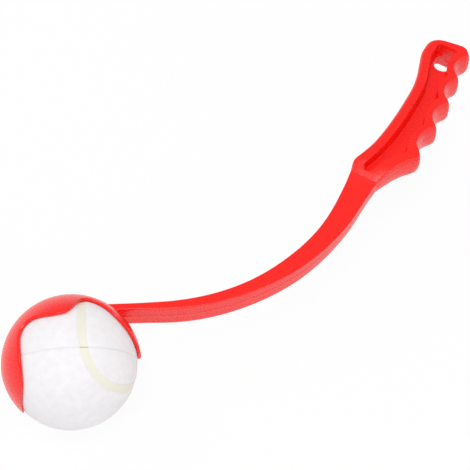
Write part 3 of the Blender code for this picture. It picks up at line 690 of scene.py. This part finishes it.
# The greyer colour, width and strength of the painted shade along the mould line.
FELT_LINE_SHADE = "D9D5D6"
FELT_LINE_SHADE_WIDTH, FELT_LINE_SHADE_SHARE = 0.0008, 0.4
FELT_FIBRE = 0.00045
FELT_CLOUD = 0.0035
FELT_CURL = 0.004
FELT_FUZZ = 0.65
FELT_IOR = 1.45
FELT_SHEEN = (0.25, 0.5)
FELT_MATTING = (0.12, 0.38)
FELT_PILE, FELT_PILE_SHARE = 0.0003, 0.35


def near_mould_line(tree, place, width, most):
    """Make a mask that is strongest on the plane in which the ball's mould shut."""
    from_centre = add_node(tree, "ShaderNodeVectorMath", {"operation": "SUBTRACT"}, {
        0: place, 1: tuple(BALL_CENTRE)}).outputs["Vector"]
    height = add_node(tree, "ShaderNodeVectorMath", {"operation": "DOT_PRODUCT"}, {
        0: from_centre, 1: tuple(MOULD_LINE_NORMAL)}).outputs["Value"]
    distance = add_node(tree, "ShaderNodeMath", {"operation": "ABSOLUTE"}, {0: height}).outputs["Value"]
    mask = add_node(tree, "ShaderNodeMapRange", {}, {
        "Value": distance, "From Min": 0.0, "From Max": width, "To Min": most, "To Max": 0.0})
    return mask.outputs["Result"]


def needled_felt():
    """Make the panels' finish."""
    made, tree = new_finish("needled_felt")
    place = add_node(tree, "ShaderNodeTexCoord", {}, {}).outputs["Object"]
    drift = noise_of(tree, place, FELT_CLOUD, 4.0)
    bent = add_node(tree, "ShaderNodeVectorMath", {"operation": "MULTIPLY_ADD"}, {
        0: drift.outputs["Color"], 1: (FELT_CURL,) * 3, 2: place})
    fibre = noise_of(tree, bent.outputs["Vector"], FELT_FIBRE, 6.0)
    fibre.inputs["Roughness"].default_value = FELT_FUZZ
    mat = add_node(tree, "ShaderNodeMath", {"operation": "MULTIPLY"}, {
        0: drift.outputs["Fac"], 1: fibre.outputs["Fac"]})
    spread = add_node(tree, "ShaderNodeMapRange", {}, {
        "Value": mat.outputs["Value"], "From Min": FELT_MATTING[0], "From Max": FELT_MATTING[1]})
    shade = colours_between(tree, spread.outputs["Result"], FELT_SHADE, FELT_WHITE)
    # Painted shade: the felt turns greyer along the mould line, standing in for the shade in its groove.
    line = near_mould_line(tree, place, FELT_LINE_SHADE_WIDTH, FELT_LINE_SHADE_SHARE)
    bump = add_node(tree, "ShaderNodeBump", {}, {
        "Strength": FELT_PILE_SHARE, "Distance": FELT_PILE, "Height": fibre.outputs["Fac"]})
    shader = add_node(tree, "ShaderNodeBsdfPrincipled", {}, {
        "Base Color": colours_between(tree, line, shade, FELT_LINE_SHADE), "Roughness": 0.95, "IOR": FELT_IOR,
        "Sheen Weight": FELT_SHEEN[0], "Sheen Roughness": FELT_SHEEN[1], "Normal": bump.outputs["Normal"]})
    add_node(tree, "ShaderNodeOutputMaterial", {}, {"Surface": shader.outputs["BSDF"]})
    return made


felt_finish = needled_felt()
for panel, node in zip(felt_panels(), ("felt_panel_a", "felt_panel_b")):
    panel.data.materials.append(felt_finish)
    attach(panel, "ball")
    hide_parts(node)

# The seam: a bead of cream rubber cement that fills the gap between the panels, a little below the
# felt. It shrank as it cured, so it is slightly hollow, and it is cracked where the mould line
# crosses it.
SEAM_SLICES = 480
SEAM_ACROSS = 11
SEAM_HOLLOW = 0.00010
SEAM_DEPTH = 0.0012
SEAM_SHARP_ANGLE = 50.0


def seam_bead():
    """Sweep the bead round the ball."""
    out, _, across = seam_frame(SEAM_SLICES)
    share = np.linspace(-1.0, 1.0, SEAM_ACROSS)
    surface = BALL_RADIUS - SEAM_RECESS - SEAM_HOLLOW * (1.0 - share ** 2)
    top = out[:, None, :] + across[:, None, :] * (share * SEAM_WIDTH / 2.0 / BALL_RADIUS)[None, :, None]
    top = top / np.linalg.norm(top, axis=-1)[..., None]
    low = top[:, ::-1] * (BALL_RADIUS - SEAM_DEPTH)
    rings = np.concatenate([top * surface[None, :, None], low], axis=1)
    rings = BALL_CENTRE + np.concatenate([rings, rings[:1]], axis=0)
    mesh = skin(rings, "seam_bead", closed_ends=False)
    bm = bmesh.new()
    bm.from_mesh(mesh)
    bmesh.ops.remove_doubles(bm, verts=bm.verts, dist=SAME_PLACE)
    bmesh.ops.recalc_face_normals(bm, faces=bm.faces)
    bm.to_mesh(mesh)
    bm.free()
    mesh.shade_smooth()
    mesh.set_sharp_from_angle(angle=math.radians(SEAM_SHARP_ANGLE))
    return stand("seam_bead", mesh)


# Vulcanised rubber cement: matt and waxy, cream, with small pits and slight yellowing.
SEAM_CREAM = "F1EFE2"
SEAM_YELLOWED = "EDEAD8"
SEAM_CRACK = "8C8474"
SEAM_CRACK_WIDTH = 0.00030
SEAM_CLOUD = 0.006
SEAM_PIT, SEAM_PIT_DEPTH = 0.0009, 0.0002


def rubber_cement():
    """Make the seam's finish."""
    made, tree = new_finish("rubber_cement")
    place = add_node(tree, "ShaderNodeTexCoord", {}, {}).outputs["Object"]
    clouds = noise_of(tree, place, SEAM_CLOUD, 3.0)
    pits = noise_of(tree, place, SEAM_PIT, 3.0)
    shade = colours_between(tree, clouds.outputs["Fac"], SEAM_YELLOWED, SEAM_CREAM)
    crack = near_mould_line(tree, place, SEAM_CRACK_WIDTH, 1.0)
    bump = add_node(tree, "ShaderNodeBump", {}, {
        "Strength": 0.15, "Distance": SEAM_PIT_DEPTH, "Height": pits.outputs["Fac"]})
    shader = add_node(tree, "ShaderNodeBsdfPrincipled", {}, {
        "Base Color": colours_between(tree, crack, shade, SEAM_CRACK), "Roughness": 0.55,
        "IOR": RUBBER_IOR, "Normal": bump.outputs["Normal"]})
    add_node(tree, "ShaderNodeOutputMaterial", {}, {"Surface": shader.outputs["BSDF"]})
    return made


seam = seam_bead()
seam.data.materials.append(rubber_cement())
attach(seam, "ball")
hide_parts("seam_strip")

# The table it lies on: it is tilted to run under both the ball and the end of the grip, and is low
# enough to stay clear of the ball when that is drawn right out of the claw.
TABLE_WHITE, TABLE_PALE = "F4F4F4", "FAFAFA"
WHITE = (1.0, 1.0, 1.0, 1.0)
TABLE_GRAIN = 0.002
TABLE_GLOW = 0.94
TABLE_SIZE = 6.0
TABLE_GAP = 0.0003
SLIDE_REACH = 0.075
TABLE_TILTS, TABLE_TRIES = (0.0, 12.0), 241

thrower_points = np.array([vert.co[:] for vert in thrower.data.vertices])
grip_points = thrower_points[thrower_points[:, 0] > 0.5 * cad_high.x]
for tilt in np.radians(np.linspace(*TABLE_TILTS, TABLE_TRIES)):
    table_down = np.array([math.sin(tilt), 0.0, -math.cos(tilt)])
    if (grip_points @ table_down).max() >= BALL_CENTRE @ table_down + BALL_RADIUS:
        break
ball_out = BALL_CENTRE + on_heading(np.array(WAY_OUT)) * SLIDE_REACH
half = TABLE_SIZE / 2.0
corners = [(-half, -half, 0.0), (half, -half, 0.0), (half, half, 0.0), (-half, half, 0.0)]
table_mesh = bpy.data.meshes.new("table")
table_mesh.from_pydata(corners, [], [(0, 1, 2, 3)])
table = stand("table", table_mesh)
table.location = ball_out + table_down * (BALL_RADIUS + TABLE_GAP)
table.rotation_euler = (0.0, tilt, 0.0)


def painted_board():
    """Make the table's finish: matt white board that keeps a soft shadow and shows white elsewhere."""
    made, tree = new_finish("painted_board")
    place = add_node(tree, "ShaderNodeTexCoord", {}, {}).outputs["Object"]
    grain = noise_of(tree, place, TABLE_GRAIN, 3.0).outputs["Fac"]
    matt = add_node(tree, "ShaderNodeBsdfDiffuse", {}, {
        "Color": colours_between(tree, grain, TABLE_WHITE, TABLE_PALE)})
    glow = add_node(tree, "ShaderNodeEmission", {}, {"Color": WHITE, "Strength": 1.0})
    path = add_node(tree, "ShaderNodeLightPath", {}, {})
    seen = add_node(tree, "ShaderNodeMath", {"operation": "MAXIMUM"}, {
        0: path.outputs["Is Camera Ray"], 1: path.outputs["Is Glossy Ray"]})
    share = add_node(tree, "ShaderNodeMath", {"operation": "MULTIPLY"}, {
        0: seen.outputs["Value"], 1: TABLE_GLOW})
    both = add_node(tree, "ShaderNodeMixShader", {}, {
        0: share.outputs["Value"], 1: matt.outputs["BSDF"], 2: glow.outputs["Emission"]})
    add_node(tree, "ShaderNodeOutputMaterial", {}, {"Surface": both.outputs["Shader"]})
    return made


table.data.materials.append(painted_board())

# The room: a white surround that is brighter near the table, a soft box over the part, one behind
# it to the left and one low in front to the right.
ROOM_FADE_HEIGHT = 0.6
ROOM_LOW, ROOM_HIGH = 0.66, 0.50

room = bpy.data.worlds.new("room")
bpy.context.scene.world = room
room.use_nodes = True
room.node_tree.nodes.clear()
room_path = add_node(room.node_tree, "ShaderNodeLightPath", {}, {})
room_way = add_node(room.node_tree, "ShaderNodeTexCoord", {}, {}).outputs["Generated"]
room_rise = add_node(room.node_tree, "ShaderNodeSeparateXYZ", {}, {"Vector": room_way}).outputs["Z"]
room_fade = add_node(room.node_tree, "ShaderNodeMapRange", {}, {
    "Value": room_rise, "From Min": 0.0, "From Max": ROOM_FADE_HEIGHT,
    "To Min": ROOM_LOW, "To Max": ROOM_HIGH})
room_light = add_node(room.node_tree, "ShaderNodeBackground", {}, {
    "Color": WHITE, "Strength": room_fade.outputs["Result"]})
room_seen = add_node(room.node_tree, "ShaderNodeBackground", {}, {"Color": WHITE, "Strength": 1.0})
room_mix = add_node(room.node_tree, "ShaderNodeMixShader", {}, {
    0: room_path.outputs["Is Camera Ray"], 1: room_light.outputs["Background"],
    2: room_seen.outputs["Background"]})
add_node(room.node_tree, "ShaderNodeOutputWorld", {}, {"Surface": room_mix.outputs["Shader"]})

SIGHT_TURN = -43.8
SIGHT_HEIGHT = 59.0
SIGHT_PLACE = (0.0806, -0.3575, 0.7185)
SENSOR_WIDTH = 36.0
SIGHT_LENS = SENSOR_WIDTH * 1623.0 / 470.0
LIGHT_TARGET = (0.10, 0.05, 0.0)
sight_frame = Matrix.Translation(Vector(BALL_CENTRE)) @ Matrix.Rotation(math.radians(SIGHT_TURN), 4, "Z")


def soft_box(name, place, size, power):
    """Hang a square soft light at a place in the sight frame, turned to the ball and arm."""
    data = bpy.data.lights.new(name, "AREA")
    data.size = size
    data.energy = power
    made = bpy.data.objects.new(name, data)
    bpy.context.scene.collection.objects.link(made)
    target = sight_frame @ Vector(LIGHT_TARGET)
    made.location = sight_frame @ Vector(place)
    made.rotation_euler = (target - made.location).to_track_quat("-Z", "Y").to_euler()
    return made


soft_box("front_box", (-0.05, -0.25, 1.6), 0.7, 10.8)
soft_box("key_box", (-0.9, 0.5, 1.3), 0.5, 4.0)
soft_box("fill_box", (1.1, -1.1, 0.7), 0.8, 4.0)

# The camera stands where the photograph was taken from.
lens = bpy.data.cameras.new("camera")
lens.sensor_width = SENSOR_WIDTH
lens.lens = SIGHT_LENS
camera = bpy.data.objects.new("camera", lens)
bpy.context.scene.collection.objects.link(camera)
camera_tilt = Matrix.Rotation(math.radians(90.0 - SIGHT_HEIGHT), 4, "X")
camera.matrix_world = sight_frame @ Matrix.Translation(Vector(SIGHT_PLACE)) @ camera_tilt
bpy.context.scene.camera = camera
bpy.context.scene.view_settings.view_transform = "Standard"
